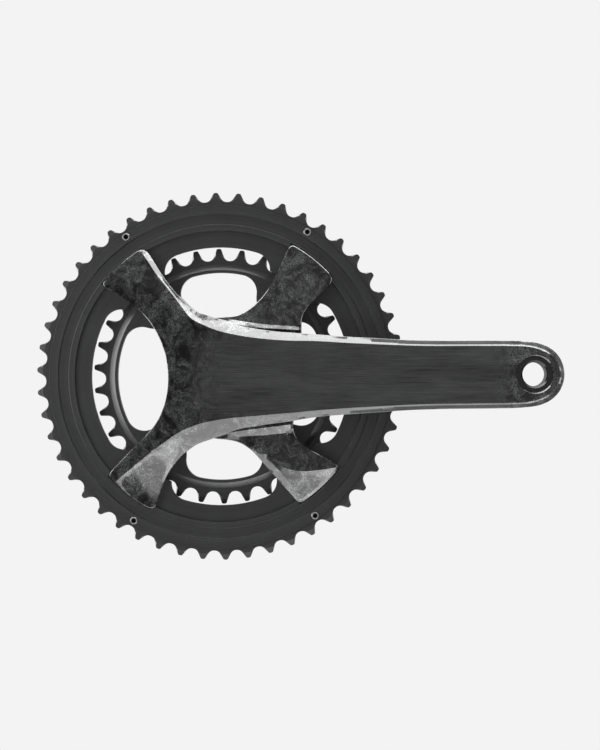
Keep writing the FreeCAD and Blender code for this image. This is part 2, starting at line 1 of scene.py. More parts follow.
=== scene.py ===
# %% [markdown]
# # A road crankset, seen from its drive side
# Two black chainrings hang on a four-armed carbon spider, and the crank arm grows out of the spider's hub.
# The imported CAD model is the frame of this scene: it holds every piece's true size and place, and its
# bodies turn together at the joints. This script only gives the pieces their looks. The carbon arm is the
# one piece that is made again here, because its creased, flowing skin is a job for mesh work; all the
# machined pieces keep their CAD shape and get a finish.

import json
import math
import bmesh
import bpy
import numpy as np
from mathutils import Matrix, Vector
from mathutils.geometry import delaunay_2d_cdt


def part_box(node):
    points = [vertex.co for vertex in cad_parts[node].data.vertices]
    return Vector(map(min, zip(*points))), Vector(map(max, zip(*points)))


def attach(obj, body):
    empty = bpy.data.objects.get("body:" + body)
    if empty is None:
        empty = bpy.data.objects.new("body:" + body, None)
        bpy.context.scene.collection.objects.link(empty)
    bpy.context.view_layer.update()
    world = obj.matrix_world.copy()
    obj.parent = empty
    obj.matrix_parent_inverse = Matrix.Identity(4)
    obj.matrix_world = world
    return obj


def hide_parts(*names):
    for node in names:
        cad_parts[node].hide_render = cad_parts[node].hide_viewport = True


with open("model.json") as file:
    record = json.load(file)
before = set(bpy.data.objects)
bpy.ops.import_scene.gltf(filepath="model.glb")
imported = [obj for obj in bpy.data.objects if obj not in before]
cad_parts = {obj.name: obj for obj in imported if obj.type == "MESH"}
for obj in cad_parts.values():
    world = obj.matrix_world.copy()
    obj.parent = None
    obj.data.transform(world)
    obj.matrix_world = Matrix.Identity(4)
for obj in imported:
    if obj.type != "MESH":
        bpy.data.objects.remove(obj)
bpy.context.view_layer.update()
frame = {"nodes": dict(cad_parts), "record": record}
nodes = frame["nodes"]
scene = bpy.context.scene
MM = 0.001
print("CAD nodes:", len(nodes))

# %% [markdown]
# ## The reference plane
# Everything on a crankset is measured from the middle of the big chainring, so heights in this script are
# millimetres in front of that plane, towards the rider's foot. The plane and the pedal's axis are read from
# the record's mounts, and the arm's highest point from its CAD box, so nothing is typed in twice.

# %% Planes and centres
mounts = {mount["name"]: Vector(mount["pos_m"]) / MM for mount in frame["record"]["mounts"]}
ring_y = mounts["big_ring_chain_line"].y
pedal_x = mounts["pedal_thread"].x
arm_low, arm_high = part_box("carbon_arm")
arm_top_height = ring_y - arm_low.y / MM
print("ring plane y", round(ring_y, 2), "pedal x", round(pedal_x, 2), "arm height", round(arm_top_height, 2))


def place(x, z, height):
    """A point in metres, from millimetres across, up and in front of the ring's plane."""
    return Vector((x, ring_y - height, z)) * MM


# %% [markdown]
# ## Camera
# A product shot of a flat object wants a long lens and a camera square to the rings, or their circles turn
# into ovals. The aim point is to the right of the axle, because the arm reaches out that way, and a small
# shift of the lens slides the whole object to its place in the frame without turning the camera.

# %% Set the camera
camera_distance = 946
camera_aim_x = 66.5
camera_aim_z = 0.3
camera_roll = math.radians(0.37)
camera_data = bpy.data.cameras.new("camera")
camera_data.lens = 81.4
camera_data.sensor_width = 36.0
camera_data.shift_x = -0.0533
camera_data.clip_start = 0.01
camera = bpy.data.objects.new("camera", camera_data)
scene.collection.objects.link(camera)
camera.location = place(camera_aim_x, camera_aim_z, camera_distance)
camera.rotation_euler = (math.radians(90), camera_roll, 0)
scene.camera = camera
print("camera", round(camera_distance / 1000, 3), "m from the rings")

# %% [markdown]
# ## Lines for the carbon skin
# A moulded arm is designed from its lines: the silhouette, and the creases where one facet meets the next.
# Each line here has only the few points that give its shape, as (across, up, height), and a smooth curve is
# passed through them. A Bezier curve object could do the same, but plain points are easier to share between
# neighbouring facets.

# %% Smooth lines through a few points
line_step = 1.2


def smooth_line(points):
    """A smooth curve through the points, sampled about every line_step millimetres."""
    p = np.array(points, dtype=float)
    gaps = np.linalg.norm(np.diff(p[:, :2], axis=0), axis=1) ** 0.5
    t = np.concatenate([[0], np.cumsum(gaps)])
    slope = np.diff(p, axis=0) / gaps[:, None]
    tangent = np.empty_like(p)
    tangent[0], tangent[-1] = slope[0], slope[-1]
    before, after = gaps[:-1, None], gaps[1:, None]
    tangent[1:-1] = (slope[:-1] * after + slope[1:] * before) / (before + after)
    samples = []
    for k in range(len(p) - 1):
        length = gaps[k] ** 2
        count = max(1, round(length / line_step))
        for s in np.arange(count) / count:
            rise = s * s * (3 - 2 * s)
            out_of = s * (1 - s) ** 2 * gaps[k]
            into = s * s * (s - 1) * gaps[k]
            straight = p[k] * (1 - rise) + p[k + 1] * rise
            samples.append(straight + tangent[k] * out_of + tangent[k + 1] * into)
    samples.append(p[-1])
    return samples


def rounded_join(before, after):
    """A soft corner between the end of one side and the start of the next."""
    a, b = before[-1], after[0]
    da, db = a - before[-2], after[1] - b
    turn = da[0] * db[1] - da[1] * db[0]
    reach = ((b[0] - a[0]) * db[1] - (b[1] - a[1]) * db[0]) / turn
    corner = a + da * reach
    corner[2] = (a[2] + b[2]) / 2
    return [a * (1 - s) ** 2 + corner * (2 * s * (1 - s)) + b * s * s for s in (0.25, 0.5, 0.75)]


def closed_outline(sides):
    """Joins sampled sides into one loop, with a soft corner wherever two sides don't meet."""
    loop = []
    for k, side in enumerate(sides):
        following = sides[(k + 1) % len(sides)]
        loop += side
        if np.linalg.norm(side[-1][:2] - following[0][:2]) > line_step / 2:
            loop += rounded_join(side, following)
        else:
            loop.pop()
    return loop


# %% [markdown]
# ## A skin stretched over the lines
# Between the creases the real skin has no detail of its own: it simply spans from line to line, as a soap
# film would. So the outline is filled with triangles that keep every crease as an edge, the heights on the
# lines are held, and the heights in between are solved so that each point sits at the average of its
# neighbours. It takes one matrix and gives facets that flow into each other, which is hard to get by pulling
# single vertices.

# %% Triangles and heights
grid_step = 2.0
line_clearance = 0.9


def inside_loop(points, loop):
    """True for each point inside the closed loop, by counting crossings."""
    inside = np.zeros(len(points), dtype=bool)
    ax, az = loop[:, 0], loop[:, 1]
    bx, bz = np.roll(ax, -1), np.roll(az, -1)
    for x0, z0, x1, z1 in zip(ax, az, bx, bz):
        if z0 == z1:
            continue
        crosses = (z0 > points[:, 1]) != (z1 > points[:, 1])
        inside ^= crosses & (points[:, 0] < (x1 - x0) * (points[:, 1] - z0) / (z1 - z0) + x0)
    return inside


def fill_points(loop, lines):
    """An even triangular grid inside the loop, kept a little away from every line."""
    low, high = loop[:, :2].min(axis=0), loop[:, :2].max(axis=0)
    row_step = grid_step * math.sqrt(0.75)
    rows = []
    for k, z in enumerate(np.arange(low[1], high[1], row_step)):
        across = np.arange(low[0] + (k % 2) * grid_step / 2, high[0], grid_step)
        rows.append(np.column_stack([across, np.full(len(across), z)]))
    grid = np.concatenate(rows)
    grid = grid[inside_loop(grid, loop)]
    nearest = np.full(len(grid), np.inf)
    for x, z in lines[:, :2]:
        nearest = np.minimum(nearest, (grid[:, 0] - x) ** 2 + (grid[:, 1] - z) ** 2)
    return grid[nearest > line_clearance ** 2]


def spread(flat, triangles, height, held):
    """Solves the free heights so that the skin spans the held ones like a soap film."""
    count = len(flat)
    weight = np.zeros((count, count))
    for corner in range(3):
        i, j, k = triangles[:, corner], triangles[:, (corner + 1) % 3], triangles[:, (corner + 2) % 3]
        u, v = flat[j] - flat[i], flat[k] - flat[i]
        cotangent = (u * v).sum(axis=1) / np.abs(u[:, 0] * v[:, 1] - u[:, 1] * v[:, 0])
        np.add.at(weight, (j, k), cotangent)
        np.add.at(weight, (k, j), cotangent)
    matrix = np.diag(weight.sum(axis=1)) - weight
    free = ~held
    pull = -matrix[np.ix_(free, held)] @ height[held]
    height[free] = np.linalg.solve(matrix[np.ix_(free, free)], pull)
    return height


# %% [markdown]
# ## From a skin to a closed solid
# The skin becomes a solid by giving it a side wall and a back, all on the same triangles, so the three parts
# meet point for point. The rim is drawn in by a third of a millimetre and dropped by as much, which makes the
# small rounded edge that catches a thin line of light on every lacquered part.

# %% Solids from lines
edge_round = 0.35


def object_from(name, mesh):
    """Turns the normals of a closed mesh outwards and puts it in the scene as an object."""
    bmesh.ops.recalc_face_normals(mesh, faces=mesh.faces[:])
    data = bpy.data.meshes.new(name)
    mesh.to_mesh(data)
    mesh.free()
    made = bpy.data.objects.new(name, data)
    scene.collection.objects.link(made)
    return made


def skin_solid(name, outline, creases, back_height, cuts=()):
    """A closed mesh object: a skin over the lines in front, a wall round it, and back_height behind."""
    lines = [outline + outline[:1]] + creases + [[np.array([*end, np.nan]) for end in cut] for cut in cuts]
    samples, edges = [], []
    for line in lines:
        first = len(samples)
        samples += list(line)
        edges += [(k, k + 1) for k in range(first, len(samples) - 1)]
    samples = np.array(samples)
    lines_with_height = samples[~np.isnan(samples[:, 2])]
    grid = fill_points(np.array(outline), lines_with_height)
    flat_in = [Vector(p) for p in np.concatenate([samples[:, :2], grid])]
    flat, _, triangles, origin, _, _ = delaunay_2d_cdt(flat_in, edges, [], 1, 1e-4)
    used, triangles = np.unique(np.array(triangles), return_inverse=True)
    flat, triangles = np.array(flat)[used], triangles.reshape(-1, 3)

    height = np.full(len(flat), np.nan)
    for k, sources in enumerate(origin[v] for v in used):
        known = [samples[s][2] for s in sources if s < len(samples) and not np.isnan(samples[s][2])]
        if known:
            height[k] = sum(known) / len(known)
        elif not sources:
            gap = np.linalg.norm(lines_with_height[:, :2] - flat[k], axis=1)
            height[k] = lines_with_height[gap.argmin()][2] if gap.min() < line_step else np.nan
    held = ~np.isnan(height)
    height = spread(flat, triangles, height, held)

    half_edges = {(t[k], t[(k + 1) % 3]) for t in triangles.tolist() for k in range(3)}
    rim_edges = [edge for edge in half_edges if edge[::-1] not in half_edges]
    outward = np.zeros_like(flat)
    for a, b in rim_edges:
        along = flat[b] - flat[a]
        side = np.array([along[1], -along[0]]) / np.linalg.norm(along)
        outward[a] += side
        outward[b] += side
    on_rim = np.zeros(len(flat), dtype=bool)
    on_rim[[a for a, b in rim_edges]] = True
    outward[on_rim] /= np.linalg.norm(outward[on_rim], axis=1)[:, None]
    gap = np.linalg.norm(flat[:, None] - flat[on_rim][None], axis=2).min(axis=1)
    back = np.array([back_height(x, from_rim) for (x, z), from_rim in zip(flat, gap)])

    mesh = bmesh.new()
    inner = flat - outward * edge_round
    front_verts = [mesh.verts.new(place(x, z, h)) for (x, z), h in zip(inner, height)]
    back_verts = [mesh.verts.new(place(x, z, h)) for (x, z), h in zip(flat, back)]
    wall_verts = {}
    for k in np.flatnonzero(on_rim):
        wall_verts[k] = mesh.verts.new(place(*flat[k], height[k] - edge_round))
    for a, b, c in triangles.tolist():
        mesh.faces.new((front_verts[a], front_verts[b], front_verts[c]))
        mesh.faces.new((back_verts[c], back_verts[b], back_verts[a]))
    for a, b in rim_edges:
        mesh.faces.new((front_verts[b], front_verts[a], wall_verts[a], wall_verts[b]))
        mesh.faces.new((wall_verts[b], wall_verts[a], back_verts[a], back_verts[b]))
    solid = object_from(name, mesh)
    print(name, len(solid.data.vertices), "points,", len(rim_edges), "on its rim")
    return solid


# %% [markdown]
# ## The arm's own lines
# The hub runs into the crank with no seam, and two of the spider's arms belong to the same front face: they
# make a Y with the crank. Its silhouette and creases are written once for the crank's half and mirrored, as
# the real mould is symmetric about the crank. Then each spider arm adds its own lines. The other two arms
# branch off from a lower level behind the crank.

# %% Lines of the crank
hub_height = 20.0
shoulder_width = 0.8
shoulder_drop = 0.6
crank_crease_reach = 13.6
face_rise = (arm_top_height - hub_height) / (pedal_x + crank_crease_reach)
crank_end_gap = 0.2
crank_end = arm_high.x / MM - crank_end_gap

# Half of each line, as (along, half the width there, drop below the face).
crank_edge = [
    (54, 22.6, 3.3), (70, 21.3, 3.4), (88, 20.2, 4.0), (105, 19.2, 4.4), (126, 18.7, 4.7),
    (150, 18.6, 4.8), (166, 18.2, 4.8), (176, 16.8, 4.8), (183, 13.2, 4.8), (187.6, 7.4, 4.8),
]
crank_crease = [
    (54, 18.9, 0), (72, 17.7, 0), (92, 16.7, 0), (114, 15.9, 0), (140, 15.7, 0),
    (160, 15.5, 0), (169, 15.0, 0), (176, 13.2, 0), (181.5, 10.0, 0), (185.0, 5.3, 0),
]


def face_height(x):
    """Height of the crank's flat face, which rises evenly from the hub to the pedal."""
    return hub_height + face_rise * x


def on_face(line):
    """Lays a line of (x, z) points on the crank's flat face."""
    return [(x, z, face_height(x)) for x, z in line]


def round_the_end(half_line, end_x):
    """A line along the crank's lower side, round its end and back along the upper side."""
    end_drop = half_line[-1][2]
    lower = [(x, -z, face_height(x) - drop) for x, z, drop in half_line]
    upper = [(x, z, face_height(x) - drop) for x, z, drop in reversed(half_line)]
    return lower + [(end_x, 0, face_height(end_x) - end_drop)] + upper


def shoulder_outside(line):
    """A line a little outside a crease and a little lower, where the bevel steepens."""
    line = np.array(line)
    along = np.gradient(line[:, :2], axis=0)
    along /= np.linalg.norm(along, axis=1)[:, None]
    outward = np.column_stack([along[:, 1], -along[:, 0]])
    return list(np.column_stack([line[:, :2] + outward * shoulder_width, line[:, 2] - shoulder_drop]))


# %% Lines of the front face
tip_r = 83.3
tip_half_angle = 9.9
tip_corner_angle = 1.7
tip_height = 5.2
low_tip_height = 4.0
tip_points = 20
arm_angles = [51.4, 131.6, 231.6, 311.6]


def tip_side(angle, height=tip_height):
    """The curved end of a spider arm, anticlockwise, a little short of its two corners."""
    reach = tip_half_angle - tip_corner_angle
    turns = np.radians(np.linspace(angle - reach, angle + reach, tip_points))
    return [np.array([tip_r * math.cos(a), tip_r * math.sin(a), height]) for a in turns]


left_edge = [
    (-62.4, 49.0, 5.0), (-54.6, 44.4, 6.4), (-46.3, 38.6, 8.4), (-40.2, 32.6, 10.2),
    (-34.2, 23.9, 12.8), (-29.5, 12.2, 14.8), (-27.9, -1.0, 15.4), (-29.4, -12.6, 14.9),
    (-33.9, -23.7, 13.0), (-40.4, -32.0, 10.8), (-49.4, -40.7, 8.4), (-60.2, -51.6, 5.2),
]
lower_edge = [
    (-36.0, -70.8, 3.4), (-31.4, -57.9, 4.8), (-27.4, -50.8, 6.2), (-21.0, -43.4, 8.6), (-13.6, -38.0, 10.8),
    (-4.0, -34.4, 12.6), (6.1, -31.2, 13.8), (20.0, -27.6, 15.4), (39.1, -24.9, 16.4),
]
upper_edge = [
    (39.0, 23.8, 16.8), (32.6, 24.3, 16.4), (16.5, 26.8, 15.4), (4.0, 30.6, 14.3), (-6.0, 33.6, 13.6),
    (-14.5, 37.2, 12.6), (-21.4, 43.7, 10.6), (-27.2, 50.2, 8.6), (-32.6, 57.9, 6.6), (-38.6, 67.4, 4.6),
]
around = lower_edge + round_the_end(crank_edge, crank_end) + upper_edge
front_outline = closed_outline([
    smooth_line(left_edge), tip_side(arm_angles[2], low_tip_height),
    smooth_line(around), tip_side(arm_angles[1]),
])

lower_left_crease = [
    (-57.0, -57.0, 6.4), (-50.5, -51.7, 9.2), (-43.8, -46.2, 11.4), (-37.2, -41.1, 13.2),
    (-31.7, -37.1, 14.8), (-26.3, -33.3, 15.9), (-20.8, -30.0, 17.2), (-15.3, -27.6, 18.5),
]
lower_hub_crease = [(-9.8, -25.7), (-4.3, -24.5), (3.9, -23.2), (12.1, -22.4), (28.0, -21.1), (44.0, -19.8)]
upper_hub_crease = [(36.0, 19.4), (18.0, 21.2), (7.0, 23.2), (-1.0, 25.3), (-9.5, 28.9)]
upper_left_crease = [
    (-15.0, 32.0, 17.6), (-20.4, 38.6, 14.6), (-26.4, 46.3, 11.8), (-30.9, 51.9, 10.0),
    (-34.9, 57.0, 8.6), (-38.6, 62.6, 7.3), (-42.6, 68.6, 5.8),
]
face_crease = smooth_line(
    lower_left_crease
    + on_face(lower_hub_crease)
    + round_the_end(crank_crease, pedal_x + crank_crease_reach)
    + on_face(upper_hub_crease)
    + upper_left_crease)
face_shoulder = shoulder_outside(face_crease)
left_ridge = smooth_line([
    (-40.8, 50.5, 9.6), (-35.6, 46.6, 11.0), (-30.3, 41.4, 12.6), (-26.3, 36.4, 14.2), (-21.0, 27.9, 16.4),
    (-17.0, 19.6, 18.1), (-14.4, 10.4, 19.2), (-14.2, 2.2, 19.6), (-16.7, -5.4, 19.2), (-21.3, -12.4, 18.0),
    (-26.7, -20.6, 16.2), (-31.4, -29.2, 14.5), (-35.4, -35.8, 13.2), (-37.9, -41.6, 12.4),
])
tip_pad_line = smooth_line([(-61.0, 51.9, 5.6), (-52.0, 52.8, 7.6), (-40.8, 50.5, 9.6)])
print("front face:", len(front_outline), "points round it,", len(face_crease), "along its crease")

# %% Lines of the upper arm behind the crank
sunk_height = 9.0
upper_arm_outline = closed_outline([
    smooth_line([
        (-8.0, 32.0, 10.4), (1.8, 32.7, 12.3), (9.4, 33.4, 12.2), (16.5, 36.8, 11.4),
        (22.2, 41.8, 10.4), (28.4, 49.9, 8.8), (33.6, 60.5, 6.8), (37.4, 69.0, 5.4),
    ])[::-1],
    smooth_line([
        (-8.0, 32.0, 10.4), (-2.0, 16.0, sunk_height), (20.0, 12.0, sunk_height),
        (40.0, 12.0, sunk_height), (45.0, 16.0, sunk_height), (45.2, 22.0, sunk_height),
    ]),
    smooth_line([
        (45.2, 22.0, sunk_height), (45.2, 25.2, 13.0), (45.4, 30.0, 11.2), (46.6, 34.4, 10.4),
        (50.8, 40.2, 8.8), (56.0, 45.2, 7.4), (60.6, 50.0, 5.8),
    ]),
    tip_side(arm_angles[0]),
])
upper_arm_foot = smooth_line([
    (2.0, 31.9, 12.6), (9.0, 30.9, 12.6), (17.5, 29.5, 12.2), (28.5, 28.2, 11.6), (45.3, 27.2, 11.0),
])
upper_arm_crest = smooth_line([
    (4.0, 29.6, 13.6), (10.0, 28.4, 14.8), (16.8, 27.3, 15.0), (28.4, 26.2, 14.6), (45.2, 25.2, 13.8),
])

# %% Lines of the lower arm behind the crank
lower_arm_outline = closed_outline([
    smooth_line([
        (40.4, -22.0, sunk_height), (40.2, -17.0, sunk_height), (36.0, -13.0, sunk_height),
        (0.0, -13.0, sunk_height), (-9.0, -31.0, 9.6),
    ]),
    smooth_line([
        (-9.0, -31.0, 9.6), (-3.0, -34.2, 11.6), (3.2, -34.9, 12.0), (10.4, -36.5, 12.0),
        (16.9, -40.5, 11.4), (23.5, -47.6, 9.8), (31.2, -56.6, 7.6), (41.4, -68.6, 4.6),
    ]),
    tip_side(arm_angles[3], low_tip_height),
    smooth_line([
        (62.6, -48.2, 5.4), (55.5, -44.1, 7.4), (50.0, -41.0, 8.8), (44.6, -36.9, 10.0),
        (41.6, -33.0, 10.8), (40.4, -28.6, 11.8), (40.4, -25.8, 13.2), (40.4, -22.0, sunk_height),
    ]),
])
lower_arm_foot = smooth_line([
    (4.0, -33.9, 12.4), (12.0, -33.2, 12.6), (24.0, -32.6, 12.2), (40.8, -31.0, 11.2),
])
lower_arm_crest = smooth_line([
    (4.0, -31.2, 13.6), (12.0, -30.0, 14.9), (22.6, -28.7, 15.0), (32.0, -27.6, 14.6), (40.4, -26.6, 13.8),
])
lower_arm_strip = smooth_line([
    (20.5, -37.2, 13.0), (26.6, -44.6, 12.6), (36.0, -56.4, 10.2), (45.6, -68.6, 4.8),
])
lower_arm_facet = smooth_line([
    (26.6, -44.6, 12.6), (31.0, -47.6, 12.4), (36.8, -51.0, 12.0), (44.5, -52.6, 11.0),
    (54.5, -52.2, 8.6), (64.0, -50.9, 5.6),
])
print("arms behind the crank:", len(upper_arm_outline), "and", len(lower_arm_outline), "points round them")

# %% [markdown]
# ## One arm out of three solids
# Each set of lines gives a solid, and a Boolean union welds them as the mould does. The spider is thick and
# reaches back to the small ring; beyond the web the crank alone is left, with a softened back. A second
# Boolean takes out what machining takes out: the seat of the big ring, the bore for the axle's sleeve, the
# pockets for the threaded inserts and the eye for the pedal.

# %% Make and weld the solids
back_gap = 0.05
back_stagger = 0.02
spider_back = ring_y - arm_high.y / MM + back_gap
web_end = 42.5
web_step = 0.5
web_cut_reach = 30
crank_back = 9.0
crank_back_rise = 0.75 / pedal_x
crank_back_bevel = 2.8
crank_back_bevel_width = 2.9


def front_back_height(x, from_rim):
    """Back of the hub and of the crank beyond it, which is bevelled towards its rim."""
    if x < web_end + web_step / 2:
        return spider_back
    bevel = crank_back_bevel * max(0, 1 - from_rim / crank_back_bevel_width)
    return crank_back + crank_back_rise * x + bevel


web_cuts = [((x, -web_cut_reach), (x, web_cut_reach)) for x in (web_end, web_end + web_step)]
front_solid = skin_solid(
    "carbon_crank_arm", front_outline, [face_crease, face_shoulder, left_ridge, tip_pad_line],
    front_back_height, web_cuts)
upper_solid = skin_solid(
    "upper_arm", upper_arm_outline, [upper_arm_foot, upper_arm_crest],
    lambda x, from_rim: spider_back + back_stagger)
lower_solid = skin_solid(
    "lower_arm", lower_arm_outline, [lower_arm_foot, lower_arm_crest, lower_arm_strip, lower_arm_facet],
    lambda x, from_rim: spider_back + 2 * back_stagger)


cutter_centre_r = 0.01


def turned_cutter(name, x, z, profile, segments=96):
    """A turned tool: a profile of (radius, height) swept round an axis along Y."""
    mesh = bmesh.new()
    rings = []
    for radius, height in profile:
        turns = [2 * math.pi * k / segments for k in range(segments)]
        circle = [(x + radius * math.cos(a), z + radius * math.sin(a)) for a in turns]
        rings.append([mesh.verts.new(place(*spot, height)) for spot in circle])
    for ring, following in zip(rings, rings[1:] + rings[:1]):
        for k in range(segments):
            n = (k + 1) % segments
            mesh.faces.new((ring[k], ring[n], following[n], following[k]))
    return object_from(name, mesh)


def pin_cutter(name, x, z, radius, low, high):
    """A plain round hole from one height to another, drilled from a fine centre."""
    profile = [(cutter_centre_r, low), (radius, low), (radius, high), (cutter_centre_r, high)]
    return turned_cutter(name, x, z, profile)


def combine(target, tools, operation):
    """Applies exact Booleans to the target's mesh and removes the tools."""
    for tool in tools:
        modifier = target.modifiers.new(tool.name, "BOOLEAN")
        modifier.operation = operation
        modifier.solver = "EXACT"
        modifier.object = tool
    bpy.context.view_layer.update()
    evaluated = target.evaluated_get(bpy.context.evaluated_depsgraph_get())
    result = bpy.data.meshes.new_from_object(evaluated)
    target.modifiers.clear()
    target.data = result
    for tool in tools:
        bpy.data.objects.remove(tool)


combine(front_solid, [upper_solid, lower_solid], "UNION")
carbon_arm = front_solid
print("welded arm:", len(carbon_arm.data.vertices), "points")

# %% Cut the seats and bores
behind_all = -9
outside_all = 95
seat_r = 64.5
seat_height = 0.9
big_insert_r, big_insert_circle, big_insert_end = 5.6, 72.5, 4.5
small_insert_r, small_insert_circle, small_insert_end = 5.6, 56.0, 3.1
sleeve_low, sleeve_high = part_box("axle_sleeve")
bore_clearance = 0.01
bore_overrun = 0.5
bore_r = (sleeve_high.x - sleeve_low.x) / 2 / MM + bore_clearance
bore_end = ring_y - sleeve_low.y / MM + bore_overrun
eye_flange_r, eye_body_r, eye_depth, eye_chamfer = 9.9, 8.8, 2.2, 0.7
eye_overrun = 3
pedal_height = face_height(pedal_x)
eye_seat = pedal_height - eye_depth
seat_profile = [
    (seat_r, behind_all), (outside_all, behind_all), (outside_all, seat_height), (seat_r, seat_height),
]
eye_profile = [
    (cutter_centre_r, 0), (eye_body_r, 0), (eye_body_r, eye_seat), (eye_flange_r, eye_seat),
    (eye_flange_r, pedal_height - eye_chamfer),
    (eye_flange_r + eye_chamfer + eye_overrun, pedal_height + eye_overrun),
    (cutter_centre_r, pedal_height + eye_overrun),
]
cutters = [
    turned_cutter("ring_seat", 0, 0, seat_profile, 256),
    pin_cutter("sleeve_bore", 0, 0, bore_r, behind_all, bore_end),
    turned_cutter("pedal_eye", pedal_x, 0, eye_profile),
]
pockets = [
    ("big_pocket", big_insert_circle, big_insert_r, big_insert_end),
    ("small_pocket", small_insert_circle, small_insert_r, small_insert_end),
]
for k, angle in enumerate(arm_angles):
    across, up = math.cos(math.radians(angle)), math.sin(math.radians(angle))
    for name, circle, radius, end in pockets:
        cutters.append(pin_cutter(f"{name}_{k}", circle * across, circle * up, radius, behind_all, end))
combine(carbon_arm, cutters, "DIFFERENCE")
sharpest_smooth_bend = math.radians(24)
for polygon in carbon_arm.data.polygons:
    polygon.use_smooth = True
carbon_arm.data.set_sharp_from_angle(angle=sharpest_smooth_bend)
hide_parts("carbon_arm")
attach(carbon_arm, "crank")
print("finished arm:", len(carbon_arm.data.polygons), "faces")

# %% [markdown]
# ## Building materials from nodes
# Every finish below is worked out from the piece's own coordinates in metres, so its grain has a real size
# and turns with the piece. Painting image textures would be the other way, but nodes stay sharp at any
# distance and can be reused on a part of another size. One helper makes a node and fills its inputs, and
# two more make the nodes that are needed most often.

# %% Node helpers
def node(tree, kind, inputs=None, **settings):
    """Makes a shader node; each input is given a plain value or another node's output."""
    made = tree.nodes.new("ShaderNode" + kind)
    for name, value in settings.items():
        setattr(made, name, value)
    for name, value in (inputs or {}).items():
        if isinstance(value, bpy.types.NodeSocket):
            tree.links.new(value, made.inputs[name])
        else:
            made.inputs[name].default_value = value
    return made


def times(tree, first, second):
    """The product of two values."""
    return node(tree, "Math", {0: first, 1: second}, operation="MULTIPLY").outputs[0]


def ramp(tree, value, start, end, first, last):
    """Goes evenly from first to last while the value goes from start to end, and stays there."""
    return node(tree, "MapRange", {0: value, 1: start, 2: end, 3: first, 4: last}).outputs[0]


def grey(value, tint=0.0):
    """A neutral colour, a touch cooler when tint is above nought."""
    return (value * (1 - tint), value, value * (1 + tint), 1)


def new_group(name, inputs, outputs):
    """An empty node group with named inputs (name, kind, default) and outputs (name, kind)."""
    tree = bpy.data.node_groups.new(name, "ShaderNodeTree")
    for label, kind, default in inputs:
        socket = tree.interface.new_socket(label, in_out="INPUT", socket_type="NodeSocket" + kind)
        socket.default_value = default
    for label, kind in outputs:
        tree.interface.new_socket(label, in_out="OUTPUT", socket_type="NodeSocket" + kind)
    return tree, tree.nodes.new("NodeGroupInput"), tree.nodes.new("NodeGroupOutput")


# %% [markdown]
# ## Effect: turning marks
# A lathe or a round grinding wheel leaves fine rings about the axle. Distance from the axis, squeezed into a
# one-dimensional noise, gives rings of uneven width like the real ones; a regular wave would look printed.
# The group puts out a fine value for the bump and a broad one for tone.

# %% Turning marks group
def turning_marks_group():
    tree, given, result = new_group(
        "Turning marks",
        [("Centre", "Vector", (0, 0, 0)), ("Rings per metre", "Float", 4000),
         ("Bands per metre", "Float", 300)],
        [("Fine", "Float"), ("Bands", "Float")])
    spot = node(tree, "TexCoord").outputs["Object"]
    from_centre = node(tree, "VectorMath", {0: spot, 1: given.outputs["Centre"]}, operation="SUBTRACT")
    flat = node(tree, "VectorMath", {0: from_centre.outputs[0], 1: (1, 0, 1)}, operation="MULTIPLY")
    radius = node(tree, "VectorMath", {0: flat.outputs[0]}, operation="LENGTH").outputs["Value"]
    for label, count in (("Fine", "Rings per metre"), ("Bands", "Bands per metre")):
        along = times(tree, radius, given.outputs[count])
        noise = node(tree, "TexNoise", {"W": along, "Scale": 1.0, "Detail": 2.0}, noise_dimensions="1D")
        tree.links.new(noise.outputs["Fac"], result.inputs[label])
    return tree


turning_marks = turning_marks_group()
print("group:", turning_marks.name)

# %% [markdown]
# ## Effect: fine grain
# Blasting, anodising and moulding all leave a surface that is not quite smooth: a grain of a tenth of a
# millimetre, with slow patches where it is a little more or less glossy, as handling and wiping leave it.
# Both come from noise, so one group serves metals, rubber and plastic with its own sizes.

# %% Fine grain group
def fine_grain_group():
    tree, given, result = new_group(
        "Fine grain",
        [("Grains per metre", "Float", 6000), ("Patches per metre", "Float", 60)],
        [("Grain", "Float"), ("Patches", "Float")])
    spot = node(tree, "TexCoord").outputs["Object"]
    grain = node(tree, "TexNoise", {
        "Vector": spot, "Scale": given.outputs["Grains per metre"], "Detail": 1.0})
    patches = node(tree, "TexNoise", {
        "Vector": spot, "Scale": given.outputs["Patches per metre"], "Detail": 4.0, "Roughness": 0.6})
    tree.links.new(grain.outputs["Fac"], result.inputs["Grain"])
    tree.links.new(patches.outputs["Fac"], result.inputs["Patches"])
    return tree


fine_grain = fine_grain_group()
print("group:", fine_grain.name)


# %% [markdown]
# ## The shader every finish starts from
# The Principled shader stays in the material itself, with its plain numbers on its own sockets. A finish only
# adds what changes over the surface: a colour, a roughness and a bump.

# %% Start a material
def start_material(name, **plain_values):
    """A new material; returns it with its tree and its Principled shader."""
    material = bpy.data.materials.new(name)
    material.use_nodes = True
    tree = material.node_tree
    shader = tree.nodes["Principled BSDF"]
    for label, value in plain_values.items():
        shader.inputs[label.replace("_", " ")].default_value = value
    return material, tree, shader


noise_low, noise_high = 0.3, 0.7


def between(tree, factor, low, high):
    """Maps a noise value, which keeps near its middle, onto the range from low to high."""
    return ramp(tree, factor, noise_low, noise_high, low, high)


def blend(tree, factor, dark, light):
    """A colour between two, by a factor."""
    mixed = node(tree, "Mix", {0: factor, 6: dark, 7: light}, data_type="RGBA")
    return mixed.outputs[2]


def bump(tree, height, distance, strength=1.0, under=None):
    """A bump of a real height in metres, laid over another normal if one is given."""
    inputs = {"Height": height, "Distance": distance, "Strength": strength}
    if under is not None:
        inputs["Normal"] = under
    return node(tree, "Bump", inputs).outputs[0]


